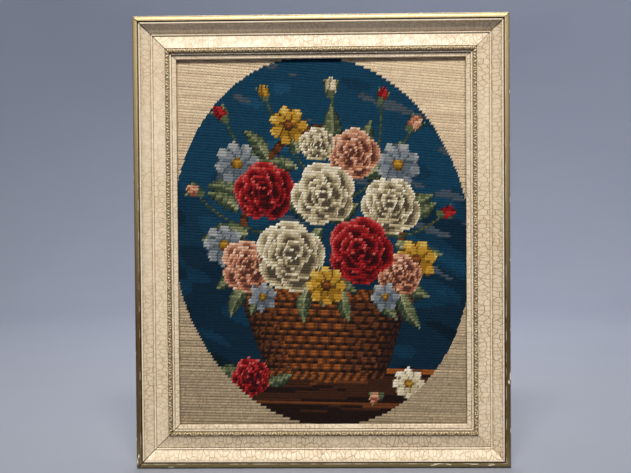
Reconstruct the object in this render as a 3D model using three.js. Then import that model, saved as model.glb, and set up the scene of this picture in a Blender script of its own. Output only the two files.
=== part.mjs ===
// A needlepoint picture in a mitred wooden frame, standing on its bottom rail.
// Millimetres, +Z up. The picture faces -Y, and the origin is under the middle of the frame.
import * as THREE from 'three';

// ---- Driving dimensions ----

const OPENING_WIDTH = 394; // sight opening, the part of the needlepoint that shows
const OPENING_HEIGHT = 500;
const GAP = 0.3; // between neighbouring pieces
const CURVE_STEPS = 8; // flats along a curved member of the moulding

// The front of the moulding, from the outer edge to the sight edge. A member is so wide, runs
// between two heights above the back of the frame, and is crowned (+) or hollowed (-) between.
const MEMBERS = [
  { member: 'rim round', width: 3.4, from: 25.5, to: 30.0, crown: 0.9 },
  { member: 'rim top', width: 3.8, from: 30.0, to: 30.4, crown: 0.2 },
  { member: 'rim quirk', width: 1.8, from: 27.2, to: 27.2, crown: 0 },
  { member: 'outer fillet', width: 1.8, from: 29.2, to: 29.1, crown: 0 },
  { member: 'cove', width: 7.9, from: 27.2, to: 20.9, crown: -0.4 },
  { member: 'roll', width: 4.8, from: 20.9, to: 16.6, crown: 0.6 },
  { member: 'cove bead', width: 2.3, from: 17.2, to: 17.0, crown: 0.8 },
  { member: 'bead quirk', width: 0.9, from: 15.5, to: 15.5, crown: 0 },
  { member: 'band', width: 16.3, from: 16.3, to: 21.7, crown: -0.4 },
  { member: 'trim bed', width: 6.9, from: 20.1, to: 20.1, crown: 0 },
  { member: 'inner fillet', width: 1.8, from: 20.8, to: 20.7, crown: 0 },
  { member: 'groove', width: 1.2, from: 17.8, to: 17.8, crown: 0 },
  { member: 'inner band', width: 2.7, from: 18.6, to: 18.0, crown: 0 },
  { member: 'sight bead', width: 2.4, from: 17.8, to: 17.2, crown: 0.5 },
];

const LIP_OVERLAP = 6; // how far the lip of the moulding covers the edge of the needlepoint
const RABBET_DEPTH = 13.0; // from the back of the frame to the back of the lip
const TRIM_RISE = 4.8; // the trim is half round, from its flat base to its crest
const TRIM_FLATS = 10;
const NEEDLEPOINT_THICKNESS = 2.6; // canvas with the wool on both of its faces
const EDGE_CLEARANCE = 1; // between the edge of the needlepoint and the side of the rabbet

// ---- Colours and finishes ----

const creamPaint = { color: 0xe9dac0, roughness: 0.55, metalness: 0 };
const gilt = { color: 0xc9a548, roughness: 0.4, metalness: 0.85 };
const wool = { color: 0x1d4560, roughness: 0.95, metalness: 0 };

// ---- Moulding section ----

// A section point is [in, front]: in from the outer edge, and in front of the back of the frame.
// No two of the points may fall together, so a level or straight member has only its two ends.
function mouldingFront() {
  const points = [];
  let start = 0;
  for (const { width, from, to, crown } of MEMBERS) {
    const steps = crown === 0 ? 1 : CURVE_STEPS;
    for (let i = 0; i <= steps; i += 1) {
      const t = i / steps;
      const line = from + (to - from) * t;
      const isRepeat = i === 0 && points.length > 0 && Math.abs(points.at(-1)[1] - from) < 1e-6;
      if (!isRepeat) points.push([start + width * t, line + crown * 4 * t * (1 - t)]);
    }
    start += width;
  }
  return points;
}

function memberSpan(name) {
  let start = 0;
  for (const { member, width, from } of MEMBERS) {
    if (member === name) return { start, width, height: from };
    start += width;
  }
  throw new Error(`no member is called ${name}`);
}

const front = mouldingFront();
const mouldingWidth = MEMBERS.reduce((sum, { width }) => sum + width, 0);
const mouldingDepth = Math.max(...front.map(([, height]) => height));
const outerWidth = OPENING_WIDTH + 2 * mouldingWidth;
const outerHeight = OPENING_HEIGHT + 2 * mouldingWidth;

function mouldingSection() {
  const rabbetSide = mouldingWidth - LIP_OVERLAP;
  return [
    [0, 0],
    ...front,
    [mouldingWidth, RABBET_DEPTH],
    [rabbetSide, RABBET_DEPTH],
    [rabbetSide, 0],
  ];
}

// Trim: a flat base on its bed, and a half-round back.
function trimSection() {
  const bed = memberSpan('trim bed');
  const middle = bed.start + bed.width / 2;
  const radius = bed.width / 2 - GAP;
  const points = [];
  for (let i = 0; i <= TRIM_FLATS; i += 1) {
    const angle = Math.PI * (1 - i / TRIM_FLATS);
    const rise = TRIM_RISE * Math.sin(angle);
    points.push([middle + radius * Math.cos(angle), bed.height + GAP + rise]);
  }
  return points;
}

// ---- One side of the frame ----

// Extrudes a section along a side of the frame and cuts both ends back to the mitre.
// The strip lies along X, with its outer edge on z = 0 and its front facing -Y.
function mitredStrip(section, length) {
  const shape = new THREE.Shape(section.map(([inward, height]) => new THREE.Vector2(inward, height)));
  const geometry = new THREE.ExtrudeGeometry(shape, { depth: length, steps: 1, bevelEnabled: false });
  const place = geometry.getAttribute('position');
  const endCut = (GAP / 2) * Math.SQRT2;
  for (let i = 0; i < place.count; i += 1) {
    const inward = place.getX(i);
    const height = place.getY(i);
    const end = place.getZ(i) > length / 2 ? 1 : -1;
    place.setXYZ(i, end * (length / 2 - inward - endCut), -height, inward);
  }
  geometry.computeVertexNormals();
  return geometry;
}

function strip(name, section, length, finish) {
  const mesh = new THREE.Mesh(mitredStrip(section, length), new THREE.MeshStandardMaterial(finish));
  mesh.name = name;
  return mesh;
}

// ---- The frame ----

// Each side is made as a bottom rail and turned about the middle of the picture.
const SIDES = [
  { side: 'bottom', length: outerWidth, reach: outerHeight / 2, turn: 0 },
  { side: 'right', length: outerHeight, reach: outerWidth / 2, turn: -90 },
  { side: 'top', length: outerWidth, reach: outerHeight / 2, turn: 180 },
  { side: 'left', length: outerHeight, reach: outerWidth / 2, turn: 90 },
];

const picture = new THREE.Group();
for (const { side, length, reach, turn } of SIDES) {
  const sideGroup = new THREE.Group();
  const rail = strip(`rail_${side}`, mouldingSection(), length, creamPaint);
  const trim = strip(`trim_${side}`, trimSection(), length, gilt);
  for (const piece of [rail, trim]) {
    piece.position.z = -reach;
    sideGroup.add(piece);
  }
  sideGroup.position.set(0, mouldingDepth / 2, outerHeight / 2);
  sideGroup.rotation.y = THREE.MathUtils.degToRad(turn);
  picture.add(sideGroup);
}

// ---- The needlepoint ----

// One flat piece, stretched in the rabbet a little behind the lips of the rails.
const spare = 2 * (LIP_OVERLAP - EDGE_CLEARANCE);
const needlepoint = new THREE.Mesh(
  new THREE.BoxGeometry(OPENING_WIDTH + spare, NEEDLEPOINT_THICKNESS, OPENING_HEIGHT + spare),
  new THREE.MeshStandardMaterial(wool),
);
needlepoint.name = 'needlepoint';
const needlepointFront = mouldingDepth / 2 - (RABBET_DEPTH - GAP);
needlepoint.position.set(0, needlepointFront + NEEDLEPOINT_THICKNESS / 2, outerHeight / 2);
picture.add(needlepoint);

export default picture;
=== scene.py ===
# %% [markdown]
# # A needlepoint picture in a mitred wooden frame
#
# This lesson dresses a plain solid model of a framed needlepoint: four mitred rails of painted
# moulding with a gilt rim, a cast gilt trim let into them, and an oval flower picture worked in
# wool, stitch by stitch. The solids give the sizes and places. Everything here is in metres,
# +Z up, and the picture faces -Y.

# %% Load the solid model
from math import atan2, cos, hypot, pi, radians, sin

import bmesh
import bpy
import numpy as np
from mathutils import Matrix, Vector, noise


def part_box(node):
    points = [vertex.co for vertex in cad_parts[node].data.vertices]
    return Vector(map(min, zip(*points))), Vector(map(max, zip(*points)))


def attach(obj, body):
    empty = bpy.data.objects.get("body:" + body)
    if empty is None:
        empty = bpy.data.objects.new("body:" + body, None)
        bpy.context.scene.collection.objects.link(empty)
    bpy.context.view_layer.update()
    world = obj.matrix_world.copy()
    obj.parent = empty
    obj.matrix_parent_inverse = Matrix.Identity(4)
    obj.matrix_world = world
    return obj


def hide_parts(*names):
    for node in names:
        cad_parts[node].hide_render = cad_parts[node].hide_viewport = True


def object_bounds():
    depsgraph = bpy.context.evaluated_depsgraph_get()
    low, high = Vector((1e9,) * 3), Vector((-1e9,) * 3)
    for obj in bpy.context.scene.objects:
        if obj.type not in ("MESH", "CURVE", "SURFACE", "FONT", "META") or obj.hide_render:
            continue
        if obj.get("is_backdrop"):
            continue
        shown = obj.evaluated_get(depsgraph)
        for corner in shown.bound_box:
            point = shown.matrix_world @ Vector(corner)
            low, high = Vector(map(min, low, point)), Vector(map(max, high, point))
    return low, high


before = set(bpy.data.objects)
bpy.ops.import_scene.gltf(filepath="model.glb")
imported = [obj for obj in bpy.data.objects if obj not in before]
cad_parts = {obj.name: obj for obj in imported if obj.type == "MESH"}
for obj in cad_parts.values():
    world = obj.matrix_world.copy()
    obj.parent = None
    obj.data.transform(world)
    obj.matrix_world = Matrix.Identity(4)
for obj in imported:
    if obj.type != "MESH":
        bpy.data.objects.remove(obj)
MM = 0.001
solid_low, solid_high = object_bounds()
OUTER_WIDTH = solid_high.x - solid_low.x
OUTER_HEIGHT = solid_high.z - solid_low.z
BACK = solid_high.y
MIDDLE_HEIGHT = (solid_low.z + solid_high.z) / 2
print(f"solids: {len(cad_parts)} nodes, {OUTER_WIDTH:.3f} x {OUTER_HEIGHT:.3f} m")

# %% [markdown]
# ## The camera
#
# The camera stands almost square to the picture, a little to the right of its middle and a
# little above it, and looks very slightly down. It could be turned with three angles, but
# building its axes from where it stands, where it looks and a small roll keeps each of those a
# plain number.

# %% Camera
CAMERA_TARGET = Vector((-8.5, 0, 315.5)) * MM
CAMERA_DISTANCE = 1437 * MM
CAMERA_LENS = 60
# degrees: round to the right of the front, up, and anticlockwise
CAMERA_AZIMUTH = 1.3
CAMERA_ELEVATION = 1.28
CAMERA_ROLL = -0.42


def add_object(name, data):
    """An object of this name in the scene. Its place in the scene is the origin."""
    made = bpy.data.objects.new(name, data)
    bpy.context.collection.objects.link(made)
    return made


def place_camera():
    azimuth, elevation = radians(CAMERA_AZIMUTH), radians(CAMERA_ELEVATION)
    away = Vector((sin(azimuth) * cos(elevation), -cos(azimuth) * cos(elevation), sin(elevation)))
    right = (-away).cross(Vector((0, 0, 1))).normalized()
    upward = right.cross(-away)
    roll = radians(CAMERA_ROLL)
    image_right = cos(roll) * right + sin(roll) * upward
    image_up = -sin(roll) * right + cos(roll) * upward
    camera = add_object("camera", bpy.data.cameras.new("camera"))
    camera.data.lens = CAMERA_LENS
    axes = Matrix((image_right, image_up, away)).transposed().to_4x4()
    camera.matrix_world = Matrix.Translation(CAMERA_TARGET + away * CAMERA_DISTANCE) @ axes
    bpy.context.scene.camera = camera
    return camera


camera = place_camera()
print("camera at", [round(c, 3) for c in camera.matrix_world.translation])

# %% [markdown]
# ## Small helpers
#
# Every finish below is a tree of shader nodes. Making nodes one by one takes many lines, so a
# helper adds a node, fills or links its inputs and gives back its output in one call. It finds
# the tree from an output that it is given. Colours are written as a dyer or painter would note
# them, as screen colours, and turned into the linear values that light needs.

# %% Helpers for colours and shader nodes
def linear(channel):
    return channel / 12.92 if channel <= 0.04045 else ((channel + 0.055) / 1.055) ** 2.4


def colour(code):
    """A screen colour such as "#c9a548" as linear red, green, blue and alpha."""
    return (*(linear(int(code[i : i + 2], 16) / 255) for i in (1, 3, 5)), 1.0)


def new_finish(name, **inputs):
    """A material. Underscores stand for the spaces in the names of its shader's inputs."""
    finish = bpy.data.materials.new(name)
    finish.use_nodes = True
    for key, value in inputs.items():
        shader_input(finish, key.replace("_", " ")).default_value = value
    return finish


def shader_input(finish, name):
    return finish.node_tree.nodes["Principled BSDF"].inputs[name]


def wire(finish, name, output):
    """Links a node's output to an input of the shader."""
    finish.node_tree.links.new(output, shader_input(finish, name))


def source(finish, kind, output, **settings):
    """An output of a new node that needs no inputs."""
    made = finish.node_tree.nodes.new("ShaderNode" + kind)
    for key, value in settings.items():
        setattr(made, key, value)
    return made.outputs[output]


def node(kind, inputs, output=0, **settings):
    """An output of a new node. Its inputs are given values or outputs of the same finish."""
    socket = bpy.types.NodeSocket
    tree = next(value.id_data for value in inputs.values() if isinstance(value, socket))
    made = tree.nodes.new("ShaderNode" + kind)
    for key, value in settings.items():
        setattr(made, key, value)
    for key, value in inputs.items():
        if isinstance(value, socket):
            tree.links.new(value, made.inputs[key])
        else:
            made.inputs[key].default_value = value
    return made.outputs[output]


def sums(operation, *values, kind="Math"):
    """The output of a Math or VectorMath node."""
    return node(kind, dict(enumerate(values)), operation=operation)


def product(first, second):
    return sums("MULTIPLY", first, second)


def spread(value, low, high, to_low=0.0, to_high=1.0):
    """Maps low to high onto to_low to to_high, held at both ends."""
    inputs = {"Value": value, "From Min": low, "From Max": high}
    inputs |= {"To Min": to_low, "To Max": to_high}
    return node("MapRange", inputs, "Result")


def blend(share, first, second, how="MIX"):
    """Mixes two colours, or screen colours' codes, by a share from 0 to 1."""
    first, second = (colour(tint) if isinstance(tint, str) else tint for tint in (first, second))
    inputs = {0: share, 6: first, 7: second}
    return node("Mix", inputs, 2, data_type="RGBA", blend_type=how)


def mottling(place, scale, detail, flat=False, **inputs):
    """A noise texture's value, from 0 to 1."""
    inputs = {"Vector": place, "Scale": scale, "Detail": detail, **inputs}
    return node("TexNoise", inputs, "Fac", noise_dimensions="2D" if flat else "3D")


def object_place(finish):
    """Metres from the origin."""
    return source(finish, "TexCoord", "Object")


def rail_map(finish):
    """Metres along the rail and metres round its section."""
    return source(finish, "UVMap", "UV", uv_map="moulding")


def stretched(place, scale, turn=0):
    """Scaled, and then turned about Y by some degrees."""
    inputs = {"Vector": place, "Rotation": (0, radians(turn), 0), "Scale": scale}
    return node("Mapping", inputs)


def axis_of(place, axis):
    return node("SeparateXYZ", {"Vector": place}, axis)


def attribute(finish, name, output="Fac"):
    return source(finish, "Attribute", output, attribute_name=name)


def bump(finish, height, depth):
    """Raises the surface by a height from 0 to 1, times a depth in metres."""
    raised = node("Bump", {"Height": height, "Distance": depth, "Strength": 1.0}, "Normal")
    wire(finish, "Normal", raised)


# %% Helpers for meshes
def piece_from(bm, name, *finishes):
    """Turns a bmesh into an object of this name, with its finishes."""
    mesh = bpy.data.meshes.new(name)
    bm.to_mesh(mesh)
    bm.free()
    for finish in finishes:
        mesh.materials.append(finish)
    return add_object(name, mesh)


def places_of(mesh):
    """The places of a mesh's vertices in metres, as rows of x, y and z."""
    places = np.empty(len(mesh.vertices) * 3)
    mesh.vertices.foreach_get("co", places)
    return places.reshape(-1, 3)


def write_numbers(mesh, name, numbers):
    """Keeps a number for each vertex, for a finish to read."""
    mesh.attributes.new(name, "FLOAT", "POINT").data.foreach_set("value", numbers)


def write_dyes(mesh, dyes):
    """Keeps a colour for each vertex, for a finish to read."""
    layer = mesh.color_attributes.new("dye", "FLOAT_COLOR", "POINT")
    layer.data.foreach_set("color", dyes.ravel())


def of_kind(parts, kind):
    return [part for part in parts if isinstance(part, kind)]


def shift(bm, verts, by):
    bmesh.ops.translate(bm, verts=verts, vec=by)


def rotate(bm, verts, degrees, axis):
    turn = Matrix.Rotation(radians(degrees), 3, axis)
    bmesh.ops.rotate(bm, verts=verts, cent=(0, 0, 0), matrix=turn)


def face_outwards(bm):
    bmesh.ops.recalc_face_normals(bm, faces=bm.faces)


def smooth(bm):
    for face in bm.faces:
        face.smooth = True


def draw_out(bm, outline, length):
    """Fills an outline and draws it out along X."""
    drawn = bmesh.ops.extrude_face_region(bm, geom=[bm.faces.new(outline)])["geom"]
    shift(bm, of_kind(drawn, bmesh.types.BMVert), (length, 0, 0))


def triangles(made):
    return sum(len(face.vertices) - 2 for face in made.data.polygons)


# %% [markdown]
# ## The studio
#
# The picture stands on a plain pale floor that sweeps up into a backdrop of the same paper. A
# flat wall would leave a hard line where it meets the floor, and it would be in the way of
# someone who walks round the picture, so one profile is spun about the middle into a wide,
# shallow bowl.

# %% Floor and backdrop
STAGE_REACH = 3.4
STAGE_SWEEP = 1.1
STAGE_HEIGHT = 3.6
STAGE_STEPS = 12
STAGE_SPOKES = 64


def sweep_stage():
    grey = new_finish("studio_grey", Roughness=0.7, Specular_IOR_Level=0.2)
    mottle = mottling(object_place(grey), 3.0, 3.0)
    wire(grey, "Base Color", blend(mottle, "#979ba8", "#9da1ad"))
    bm = bmesh.new()
    profile = [bm.verts.new((0, 0, 0)), bm.verts.new((STAGE_REACH - STAGE_SWEEP, 0, 0))]
    for step in range(1, STAGE_STEPS + 1):
        turn = pi / 2 * step / STAGE_STEPS
        out = STAGE_REACH - STAGE_SWEEP + STAGE_SWEEP * sin(turn)
        profile.append(bm.verts.new((out, 0, STAGE_SWEEP * (1 - cos(turn)))))
    profile.append(bm.verts.new((STAGE_REACH, 0, STAGE_HEIGHT)))
    edges = [bm.edges.new(pair) for pair in zip(profile, profile[1:])]
    bmesh.ops.spin(
        bm, geom=profile + edges, axis=(0, 0, 1), cent=(0, 0, 0), angle=2 * pi,
        steps=STAGE_SPOKES, use_merge=True,
    )
    bmesh.ops.remove_doubles(bm, verts=bm.verts, dist=1e-5)
    face_outwards(bm)
    if max(bm.faces, key=lambda face: face.calc_area()).normal.z < 0:
        bmesh.ops.reverse_faces(bm, faces=bm.faces)
    smooth(bm)
    stage = piece_from(bm, "studio", grey)
    stage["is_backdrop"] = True
    return stage


studio = sweep_stage()
print("studio:", triangles(studio), "triangles")

# %% [markdown]
# ## The light
#
# A soft box hangs in front of the picture and well above it, so its light comes down at 46 to
# 52 degrees and picks out every step of the moulding: members that face up are bright, members
# that face down are dark. A grid keeps its light on the picture, because light that falls on
# the floor in front comes back up and fills the shadows. A weaker soft box lights the backdrop
# and another the back. The standard view keeps the colours as deep as they are mixed.

# %% Lamps
# name, place, aim, wide, tall, watts, tint, grid in degrees
LAMPS = (
    ("key_lamp", (0.0, -2.66, 3.40), (0, 0, 0.40), 1.5, 0.65, 17.5, (1.0, 0.97, 0.92), 50),
    ("backdrop_lamp", (0.5, 1.2, 2.7), (0.5, 3.2, 1.7), 2.4, 0.5, 52, (0.90, 0.94, 1.0), 180),
    ("back_lamp", (0.0, 2.3, 2.3), (0, 0, 0.3), 1.6, 0.8, 36, (0.95, 0.97, 1.0), 180),
)
SKY_TINT = (1.0, 0.93, 0.82, 1.0)
SKY_STRENGTH = 0.05


def hang_lamp(name, place, aim, wide, tall, watts, tint, grid):
    lamp = add_object(name, bpy.data.lights.new(name, "AREA"))
    lamp.data.shape = "RECTANGLE"
    lamp.data.size, lamp.data.size_y = wide, tall
    lamp.data.energy = watts
    lamp.data.color = tint
    lamp.data.spread = radians(grid)
    facing = (Vector(aim) - Vector(place)).to_track_quat("-Z", "Y")
    lamp.matrix_world = Matrix.Translation(place) @ facing.to_matrix().to_4x4()


def light_studio():
    for lamp in LAMPS:
        hang_lamp(*lamp)
    world = bpy.data.worlds.new("studio_world")
    world.use_nodes = True
    sky = world.node_tree.nodes["Background"]
    sky.inputs["Color"].default_value = SKY_TINT
    sky.inputs["Strength"].default_value = SKY_STRENGTH
    bpy.context.scene.world = world
    bpy.context.scene.view_settings.view_transform = "Standard"


light_studio()

# %% [markdown]
# ## The section of the moulding
#
# A frame maker buys moulding by the length. Its front is planed to a row of members: a rounded
# rim, a cove that turns over in a roll, a small bead, a sloping band, a bed for the trim, and a
# bead at the sight edge. The same table made the solid model. Each member has a width, the heights
# that it runs between, and a crown or a hollow. An extra point sits close to each end of a member,
# so that the dirt and painted shade in its corners can stay narrow.

# %% Members, from the outer edge to the sight edge, in millimetres
MEMBERS = (
    # name, width, from, to, crown
    ("rim round", 3.4, 25.5, 30.0, 0.9),
    ("rim top", 3.8, 30.0, 30.4, 0.2),
    ("rim quirk", 1.8, 27.2, 27.2, 0.0),
    ("outer fillet", 1.8, 29.2, 29.1, 0.0),
    ("cove", 7.9, 27.2, 20.9, -0.4),
    ("roll", 4.8, 20.9, 16.6, 0.6),
    ("cove bead", 2.3, 17.2, 17.0, 0.8),
    ("bead quirk", 0.9, 15.5, 15.5, 0.0),
    ("band", 16.3, 16.3, 21.7, -0.4),
    ("trim bed", 6.9, 20.1, 20.1, 0.0),
    ("inner fillet", 1.8, 20.8, 20.7, 0.0),
    ("groove", 1.2, 17.8, 17.8, 0.0),
    ("inner band", 2.7, 18.6, 18.0, 0.0),
    ("sight bead", 2.4, 17.8, 17.2, 0.5),
)
GAP = 0.3
LIP_OVERLAP = 6
RABBET_DEPTH = 13.0
CURVE_STEPS = 10
CORNER = 0.45  # how far the extra points are from the ends of a member
SIDE_LINE = 8.0  # height of a line of points along the outer side
SHORTEST_STEP = 0.01


def member_span(name):
    """How far in from the outer edge a member starts, its width, and its height there."""
    place = [member[0] for member in MEMBERS].index(name)
    return sum(member[1] for member in MEMBERS[:place]), *MEMBERS[place][1:3]


def apart(a, b):
    return hypot(b[0] - a[0], b[1] - a[1])


def moulding_front():
    """The front of the section as (in from the outer edge, height above the back)."""
    points = []
    start = 0.0
    for _, width, low, high, crown in MEMBERS:
        corner = min(CORNER / width, 0.25)
        places = {0.0, corner, 1 - corner, 1.0}
        if crown:
            places |= {step / CURVE_STEPS for step in range(1, CURVE_STEPS)}
        for t in sorted(places):
            point = (start + width * t, low + (high - low) * t + crown * 4 * t * (1 - t))
            if not points or apart(point, points[-1]) > SHORTEST_STEP:
                points.append(point)
        start += width
    return points


FRONT_LINE = moulding_front()
MOULDING_WIDTH = sum(member[1] for member in MEMBERS)
MOULDING_DEPTH = max(height for _, height in FRONT_LINE)
RABBET_SIDE = MOULDING_WIDTH - LIP_OVERLAP
RIM_WIDTH = member_span("outer fillet")[0]
SECTION = [
    (0, 0), (0, SIDE_LINE), *FRONT_LINE,
    (MOULDING_WIDTH, RABBET_DEPTH), (RABBET_SIDE, RABBET_DEPTH), (RABBET_SIDE, 0),
]
STEPS_ROUND = [apart(a, b) for a, b in zip(SECTION, SECTION[1:])]
GIRTHS = [sum(STEPS_ROUND[:k]) for k in range(len(SECTION))]
FULL_GIRTH = GIRTHS[-1] + RABBET_SIDE
print(f"section: {len(SECTION)} points, {MOULDING_WIDTH:.1f} mm wide, {FULL_GIRTH:.0f} mm round")

# %% [markdown]
# ## Where dirt settles, where shade is painted and where paint rubs off
#
# Dirt stays where the moulding is lower than what is beside it, and the finishes also paint shade
# there. Paint rubs off where it is higher, and on the gilt that pale also stands for a painted
# highlight. So one number for each point of the section says both: how far it lies below the mean
# height of its neighbourhood. It is kept on the mesh as an attribute that the finishes read.

# %% How hollow the moulding is at each place
HOLLOW_REACH = 1.3  # millimetres to either side
HOLLOW_SAMPLES = 9
LINE_ACROSS, LINE_HEIGHTS = np.array(FRONT_LINE).T


def front_height(inward):
    return np.interp(inward, LINE_ACROSS, LINE_HEIGHTS)


def hollowness(inward, height):
    """Millimetres below (+) or above (-) the mean height of the front nearby."""
    beside = inward[:, None] + np.linspace(-HOLLOW_REACH, HOLLOW_REACH, HOLLOW_SAMPLES)[None, :]
    return front_height(beside).mean(axis=1) - height


def mark_hollows(made):
    """Writes the attribute for a rail that still lies as a bottom rail."""
    _, depth, inward = places_of(made.data).T / MM
    hollow = hollowness(inward, -depth)
    hollow[-depth < RABBET_DEPTH + 0.01] = 0.0
    write_numbers(made.data, "hollow", hollow)
    return hollow.min(), hollow.max()


# %% [markdown]
# ## Finish: crackled cream paint
#
# The body of the moulding has thick cream paint over gesso. The paint has shrunk and crazed into
# cells some 4 to 12 mm long, mostly with cracks running straight across the rail. The cracks
# have gone tan with dirt, most of all towards the lower right. A Voronoi texture measured to the
# edge of its cells draws such a net. It reads a map in metres that follows each rail, so the
# cells turn with the wood at the mitres.

# %% Cream paint
# cell along the rail and across it, and wobble, in metres; width as a share of a cell
COARSE_CRACKS = {"along": 0.0062, "across": 0.0125, "width": 0.075, "wobble": 0.0026}
FINE_CRACKS = {"along": 0.0036, "across": 0.0062, "width": 0.078, "wobble": 0.0018}


def crack_net(finish, along, across, width, wobble):
    """1 in the cracks and 0 on the cells. The rail's map is shaken, so no crack is straight."""
    place = rail_map(finish)
    inputs = {"Vector": place, "Scale": 160.0, "Detail": 2.0}
    shake = node("TexNoise", inputs, "Color", noise_dimensions="2D")
    shake = sums("SUBTRACT", shake, (0.5, 0.5, 0.5), kind="VectorMath")
    place = sums("MULTIPLY_ADD", shake, (wobble,) * 3, place, kind="VectorMath")
    place = stretched(place, (1 / along, 1 / across, 1))
    inputs = {"Vector": place, "Scale": 1.0, "Randomness": 0.9}
    from_edge = node(
        "TexVoronoi", inputs, "Distance", feature="DISTANCE_TO_EDGE", voronoi_dimensions="2D"
    )
    return spread(from_edge, width * 0.35, width, 1.0, 0.0)


def cream_paint():
    finish = new_finish("crackled_cream", Specular_IOR_Level=0.45)
    hollow = attribute(finish, "hollow")
    patches = mottling(rail_map(finish), 9.0, 3.0, flat=True)
    mottle = mottling(rail_map(finish), 90.0, 4.0, flat=True)
    tint = blend(patches, "#f0e0c6", "#e4cfae")
    tint = blend(spread(mottle, 0.35, 0.7, 0.0, 0.35), tint, "#d9c09a")
    strong = spread(patches, 0.35, 0.60, 0.45, 1.0)
    faint = spread(mottle, 0.45, 0.60, 0.10, 0.60)
    coarse = product(crack_net(finish, **COARSE_CRACKS), strong)
    fine = product(crack_net(finish, **FINE_CRACKS), faint)
    cracks = sums("MAXIMUM", coarse, fine)
    place = object_place(finish)
    low_right = sums("SUBTRACT", axis_of(place, "X"), axis_of(place, "Z"))
    aged = spread(low_right, -0.80, 0.10, 0.46, 0.80)
    tint = blend(product(cracks, aged), tint, "#80623c")
    # Low places are darkened to dark brown in patches: dirt, and painted shade in the corners.
    dirt_and_shade = spread(hollow, 0.06, 0.75, 0.0, 0.45)
    dirt_and_shade = product(dirt_and_shade, spread(mottle, 0.30, 0.55, 0.60, 1.0))
    tint = blend(dirt_and_shade, tint, "#432c1a")
    tint = blend(spread(hollow, -0.20, -0.55, 0.0, 0.45), tint, "#f6ead6")
    wire(finish, "Base Color", tint)
    wire(finish, "Roughness", spread(mottle, 0.3, 0.7, 0.40, 0.56))
    bump(finish, sums("SUBTRACT", product(mottle, 0.25), cracks), 0.00016)
    return finish


CREAM = cream_paint()
print("finish:", CREAM.name)

# %% [markdown]
# ## Finish: worn gilding
#
# The rim and the trim are gilt over plaster. The leaf is a metal, so most of its colour comes from
# what it mirrors. Where it lies low it is darkened to olive grime, for dirt and painted shade.
# Lower down the frame it is darkened to brown, most of all a little above the foot, for tarnish
# and painted shade. On its raised edges, and in worn spots, it has gone through to pale gesso
# where hands and shelves have touched it, and on the raised edges that pale also stands for a
# painted highlight.

# %% Gilding
def gilding(name, tints, dirt_and_shade_from, dirt_and_shade_to, wear_and_highlight, low_tarnish_and_shade):
    """Gilding whose tints are bright, deep, fleck, and the grime that stands for dirt and painted
    shade in its low places.
    """
    finish = new_finish(name)
    place = object_place(finish)
    hollow = attribute(finish, "hollow")
    bright, deep, fleck, grime_and_shade = tints
    cloud = mottling(place, 55.0, 4.0, Roughness=0.6)
    grain = mottling(place, 420.0, 3.0, Roughness=0.65)
    tint = blend(cloud, bright, deep)
    tint = blend(spread(grain, 0.50, 0.72, 0.0, 0.5), tint, fleck)
    up = axis_of(place, "Z")
    # Lower down, most of all a little above the foot, the gilt is darkened to brown: tarnish and
    # painted shade.
    above_foot = spread(up, 0.0, 0.05, 0.75, 1.0)
    lower_tarnish_and_shade = sums("MINIMUM", above_foot, spread(up, 0.20, 0.56, 1.0, 0.0))
    tint = blend(product(lower_tarnish_and_shade, low_tarnish_and_shade), tint, "#573c0b")
    # Low places are darkened to the grime tint: dirt and painted shade.
    dirt_and_shade = spread(hollow, dirt_and_shade_from, dirt_and_shade_to)
    tint = blend(product(dirt_and_shade, 0.9), tint, grime_and_shade)
    # Raised edges go to pale gesso in patches, for wear and a painted highlight; the grain adds
    # worn spots.
    edge = product(spread(hollow, -0.15, -0.60), spread(cloud, 0.48, 0.60))
    spots = spread(grain, 0.66, 0.70)
    gesso_and_highlight = product(sums("MAXIMUM", edge, spots), wear_and_highlight)
    wire(finish, "Base Color", blend(gesso_and_highlight, tint, "#e6dcc6"))
    leafless = product(sums("MAXIMUM", gesso_and_highlight, dirt_and_shade), 0.5)
    wire(finish, "Metallic", sums("SUBTRACT", 0.55, leafless))
    wire(finish, "Roughness", spread(grain, 0.3, 0.7, 0.38, 0.58))
    bump(finish, sums("ADD", product(grain, 0.5), cloud), 0.00022)
    return finish


RIM_GILT = gilding(
    "rim_gilt", ("#e8d6a2", "#ccb177", "#8a6e3c", "#3a2814"),
    dirt_and_shade_from=0.10, dirt_and_shade_to=0.60, wear_and_highlight=0.45, low_tarnish_and_shade=0.92,
)
TRIM_GILT = gilding(
    "trim_gilt", ("#f6e8c2", "#dec18e", "#9a7848", "#40280f"),
    dirt_and_shade_from=0.42, dirt_and_shade_to=1.28, wear_and_highlight=0.40, low_tarnish_and_shade=0.12,
)
print("finishes:", RIM_GILT.name, TRIM_GILT.name)

# %% [markdown]
# ## Finishes: broken gesso and bare wood
#
# A chip shows the chalky white gesso under the leaf. The back of the moulding was never painted
# and is plain softwood, whose grain runs along each rail, so it follows the rail's map too. The
# sawn ends are brown with old glue and dust, which is what shows where a mitre has opened.

# %% Gesso and wood
def broken_gesso():
    finish = new_finish("gesso", Roughness=0.9)
    crumbs = mottling(object_place(finish), 700.0, 4.0)
    wire(finish, "Base Color", blend(crumbs, "#fbf4e4", "#d8ccb2"))
    bump(finish, crumbs, 0.0003)
    return finish


def bare_wood():
    finish = new_finish("bare_wood", Roughness=0.75)
    rings = stretched(rail_map(finish), (7, 190, 1))
    fibres = stretched(rail_map(finish), (60, 2600, 1))
    grain = mottling(rings, 1.0, 6.0, Distortion=0.6)
    fine = mottling(fibres, 1.0, 2.0)
    tint = blend(spread(grain, 0.35, 0.65), "#caa878", "#a37d4e")
    tint = blend(spread(fine, 0.45, 0.70, 0.0, 0.4), tint, "#7c5a36")
    wire(finish, "Base Color", tint)
    bump(finish, fine, 0.0002)
    return finish


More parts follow.
